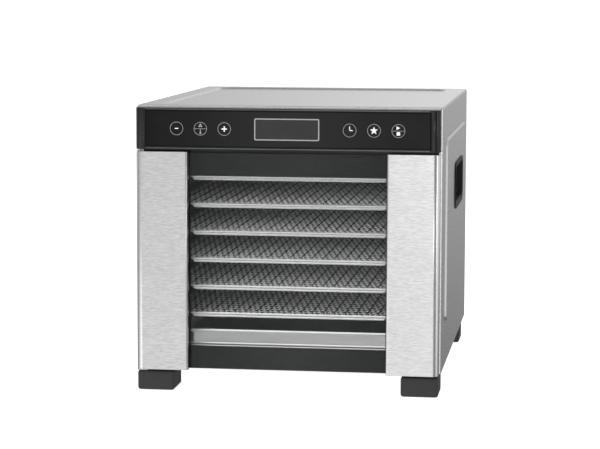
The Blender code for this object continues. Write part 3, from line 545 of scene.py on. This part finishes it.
def crimped_sheet(low, high):
    """Crimped wires from side to side, each half a wave out of step with the last, and the front
    ends of the straight wires, which stand at crest height and so carry the painted highlight.
    """
    points, faces = [], []
    z = high[2] - WAVE_HEIGHT
    step = WAVE_LENGTH / WAVE_STEPS
    start_x = low[0] + WIRE_INSET
    count = int((high[0] - WIRE_INSET - start_x) / step)
    y = low[1] + WIRE_RADIUS
    row = 0
    while y < high[1] - WIRE_RADIUS:
        path = []
        for i in range(count + 1):
            turn = 2 * math.pi * i / WAVE_STEPS + math.pi * row
            path.append((start_x + i * step, y, z + WAVE_HEIGHT * math.sin(turn)))
        add_wire(points, faces, path, WIRE_RADIUS, True, WIRE_FLATTENING)
        y += ROW_PITCH
        row += 1
    for x in support_places(low, high):
        front = low[1] - SUPPORT_END
        path = [(x, front, high[2]), (x, front + SUPPORT_END, high[2] + SUPPORT_RISE)]
        add_wire(points, faces, path, SUPPORT_RADIUS, False)
    return points, faces


def support_wires(low, high):
    points, faces = [], []
    z = high[2] + SUPPORT_RISE
    for x in support_places(low, high):
        add_wire(points, faces, [(x, low[1], z), (x, high[1], z)], SUPPORT_RADIUS, False)
    return points, faces


def add_wire_trays(materials):
    """Crimped and straight wires, shared by the six trays, in place of the coarse plates."""
    low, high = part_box("tray_mesh_1")
    makers = {"crimped_mesh": (crimped_sheet, "wire"), "support_wires": (support_wires, "painted_shade_rod")}
    for name, (maker, finish) in makers.items():
        mesh = bpy.data.meshes.new(name)
        points, faces = maker(low, high)
        mesh.from_pydata(points, [], faces)
        mesh.update()
        mesh.materials.append(materials[finish])
        mesh.shade_smooth()
        for k in TRAYS:
            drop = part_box(f"tray_mesh_{k}")[0][2] - low[2]
            piece = place_piece(f"{name}_{k}", mesh, f"tray_{k}", (0, 0, drop))
            if name == "crimped_mesh":
                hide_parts(f"tray_mesh_{k}")


def wires_across(y, places, radius):
    """Straight wires along X. places holds each one's half length and height."""
    points, faces = [], []
    for half, z in places:
        add_wire(points, faces, [(-half, y, z), (half, y, z)], radius, True)
    return points, faces


def add_lip_wires(materials):
    """Two wires along the front lip of every tray, and the drip tray's rolled upper edge."""
    for k in TRAYS:
        low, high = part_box(f"tray_frame_{k}")
        places = [(half, high[2] - drop) for half, drop in LIP_WIRES]
        points, faces = wires_across(low[1], places, LIP_WIRE_RADIUS)
        add_piece(f"lip_wires_{k}", points, faces, materials["rim"], f"tray_{k}")
    low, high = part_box("drip_tray")
    places = [(DRIP_WIRE_HALF, low[2] + rise) for rise in DRIP_WIRE_RISES]
    rolled = [(DRIP_WIRE_HALF, high[2])]
    for name, where, radius in (
        ("drip_tray_lip_wires", places, LIP_WIRE_RADIUS),
        ("drip_tray_rolled_edge", rolled, ROLLED_EDGE_RADIUS),
    ):
        points, faces = wires_across(low[1], where, radius)
        add_piece(name, points, faces, materials["rim"], "drip_tray")


# ---------------------------------------------------------------- control panel

INK = 0.12 * MM  # thickness of the print
GAP = 0.02 * MM  # between a print and its glass
RING_RADIUS = 7.4 * MM
RING_LINE = 0.42 * MM
DIVIDER = (6.8, 0.2)  # half width and half height in millimetres
DISPLAY_HALF = (36.4 * MM, 12.2 * MM)  # half width and half height
DISPLAY_LINE = 1.2 * MM
DISPLAY_CORNERS = (1.8 * MM, 0.8 * MM)  # of the outline, outside and inside
TRIM_HEIGHT = 0.9 * MM
TRIM_STAND = 0.5 * MM
TRIM_OVER_GLASS = 1.9 * MM
TRIM_UNDER_GLASS = 2.8 * MM


# The signs are lists of outlines in millimetres, measured from the middle of the key


def bar(half_width, half_height, x=0.0, z=0.0):
    return rectangle((x - half_width, z - half_height), (x + half_width, z + half_height))


def sign_minus():
    return [bar(2.0, 0.5)]


def sign_plus():
    long, wide = 3.1, 0.6
    return [
        [
            (-wide, -long), (wide, -long), (wide, -wide), (long, -wide), (long, wide),
            (wide, wide), (wide, long), (-wide, long), (-wide, wide), (-long, wide),
            (-long, -wide), (-wide, -wide),
        ]
    ]


def sign_fan_and_heat():
    """A fan's three blades above the dividing line and a thermometer below it."""
    hub, reach = 3.4, 1.3
    blades = []
    for k in range(3):
        angle = math.radians(90 + 120 * k)
        centre = (reach * math.cos(angle), hub + reach * math.sin(angle))
        blades.append(circle(centre, 0.95, 14))
    return blades + [bar(0.4, 1.7, z=-2.5), circle((0, -4.8), 1.1, 16)]


def sign_clock():
    """Two clock hands."""
    return [rectangle((-0.45, -0.4), (0.45, 4.6)), rectangle((-0.4, -0.45), (3.4, 0.45))]


def sign_star():
    points = []
    for k in range(10):
        radius = 1.8 if k % 2 else 4.7
        angle = math.radians(90 + 36 * k)
        points.append((radius * math.cos(angle), radius * math.sin(angle)))
    return [points]


def sign_start_stop():
    """A triangle above the dividing line and a square below it."""
    return [[(-2.1, 1.3), (1.9, 3.3), (-2.1, 5.3)], rectangle((-1.9, -4.9), (1.9, -1.2))]


KEYS = {  # name: (X in millimetres, sign, its finish, whether a line divides the ring)
    "key_minus": (-124.2, sign_minus, "bright_print", False),
    "key_fan_and_heat": (-97.2, sign_fan_and_heat, "print", True),
    "key_plus": (-70.2, sign_plus, "bright_print", False),
    "key_clock": (70.2, sign_clock, "bright_print", False),
    "key_star": (97.2, sign_star, "bright_print", False),
    "key_start_stop": (124.2, sign_start_stop, "bright_print", True),
}


def add_panel_trims(materials):
    """Thin ridges on the frame, above and below the panel's glass, that face upwards."""
    low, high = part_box("control_glass")
    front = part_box("control_frame")[0][1]
    trims = {
        "panel_trim_upper": high[2] + TRIM_OVER_GLASS,
        "panel_trim_lower": low[2] - TRIM_UNDER_GLASS,
    }
    for name, z in trims.items():
        outline = [(front, z), (front - TRIM_STAND, z), (front, z + TRIM_HEIGHT)]
        points = [(x, y, h) for x in (low[0], high[0]) for y, h in outline]
        faces = [(0, 1, 2), (5, 4, 3), (0, 3, 4, 1), (1, 4, 5, 2), (2, 5, 3, 0)]
        add_piece(name, points, faces, materials["trim"], "housing")


def add_outlines(points, faces, outlines, x, z, y0, y1):
    """Raises outlines in millimetres, measured from x and z, into slabs of print."""
    for outline in outlines:
        placed = [(x + u * MM, z + v * MM) for u, v in outline]
        more_points, more_faces = slab(placed, y0, y1, len(points))
        points += more_points
        faces += more_faces


def add_panel_prints(materials):
    """Six ringed keys and the display's outline, printed on the panel's glass."""
    low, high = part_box("control_glass")
    y1 = low[1] - GAP
    y0 = y1 - INK
    z = (low[2] + high[2]) / 2
    for name, (place, sign, finish, divided) in KEYS.items():
        x = place * MM
        points, faces = band(
            circle((x, z), RING_RADIUS), circle((x, z), RING_RADIUS - RING_LINE), y0, y1
        )
        if divided:
            add_outlines(points, faces, [bar(*DIVIDER)], x, z, y0, y1)
        add_piece(name, points, faces, materials["print"], "housing")
        points, faces = [], []
        add_outlines(points, faces, sign(), x, z, y0, y1)
        add_piece(f"{name}_sign", points, faces, materials[finish], "housing")
    half_x, half_z = DISPLAY_HALF
    outer = rectangle((-half_x, z - half_z), (half_x, z + half_z), DISPLAY_CORNERS[0])
    half_x -= DISPLAY_LINE
    half_z -= DISPLAY_LINE
    inner = rectangle((-half_x, z - half_z), (half_x, z + half_z), DISPLAY_CORNERS[1])
    points, faces = band(outer, inner, y0, y1)
    add_piece("display_outline", points, faces, materials["print"], "housing")
    points, faces = slab(inner, y0 + INK / 2, y1, 0)
    add_piece("display_window", points, faces, materials["display"], "housing")


# ---------------------------------------------------------------- door

BAND_TOP = 26.2 * MM  # printed band below the glass's upper edge
BAND_BOTTOM = 26.1 * MM  # and above its lower edge
BAND_SIDE_X = 110.5 * MM  # where the clear middle ends on each side
BAND_SKIN = 0.25 * MM


def add_door_bands(materials):
    """The black border printed on the back of the door's glass."""
    low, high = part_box("door_glass")
    y0 = high[1] + GAP
    outer = rectangle((low[0], low[2]), (high[0], high[2]))
    inner = rectangle((-BAND_SIDE_X, low[2] + BAND_BOTTOM), (BAND_SIDE_X, high[2] - BAND_TOP))
    points, faces = band(outer, inner, y0, y0 + BAND_SKIN)
    add_piece("door_glass_border", points, faces, materials["gloss"], "door")


def main():
    bpy.context.scene.view_settings.view_transform = "Standard"
    add_camera()
    add_world()
    add_floor()
    materials = make_materials()
    dress_nodes(materials)
    add_rounded_edges()
    add_wire_trays(materials)
    add_lip_wires(materials)
    add_panel_trims(materials)
    add_panel_prints(materials)
    add_door_bands(materials)
    add_softboxes()


main()
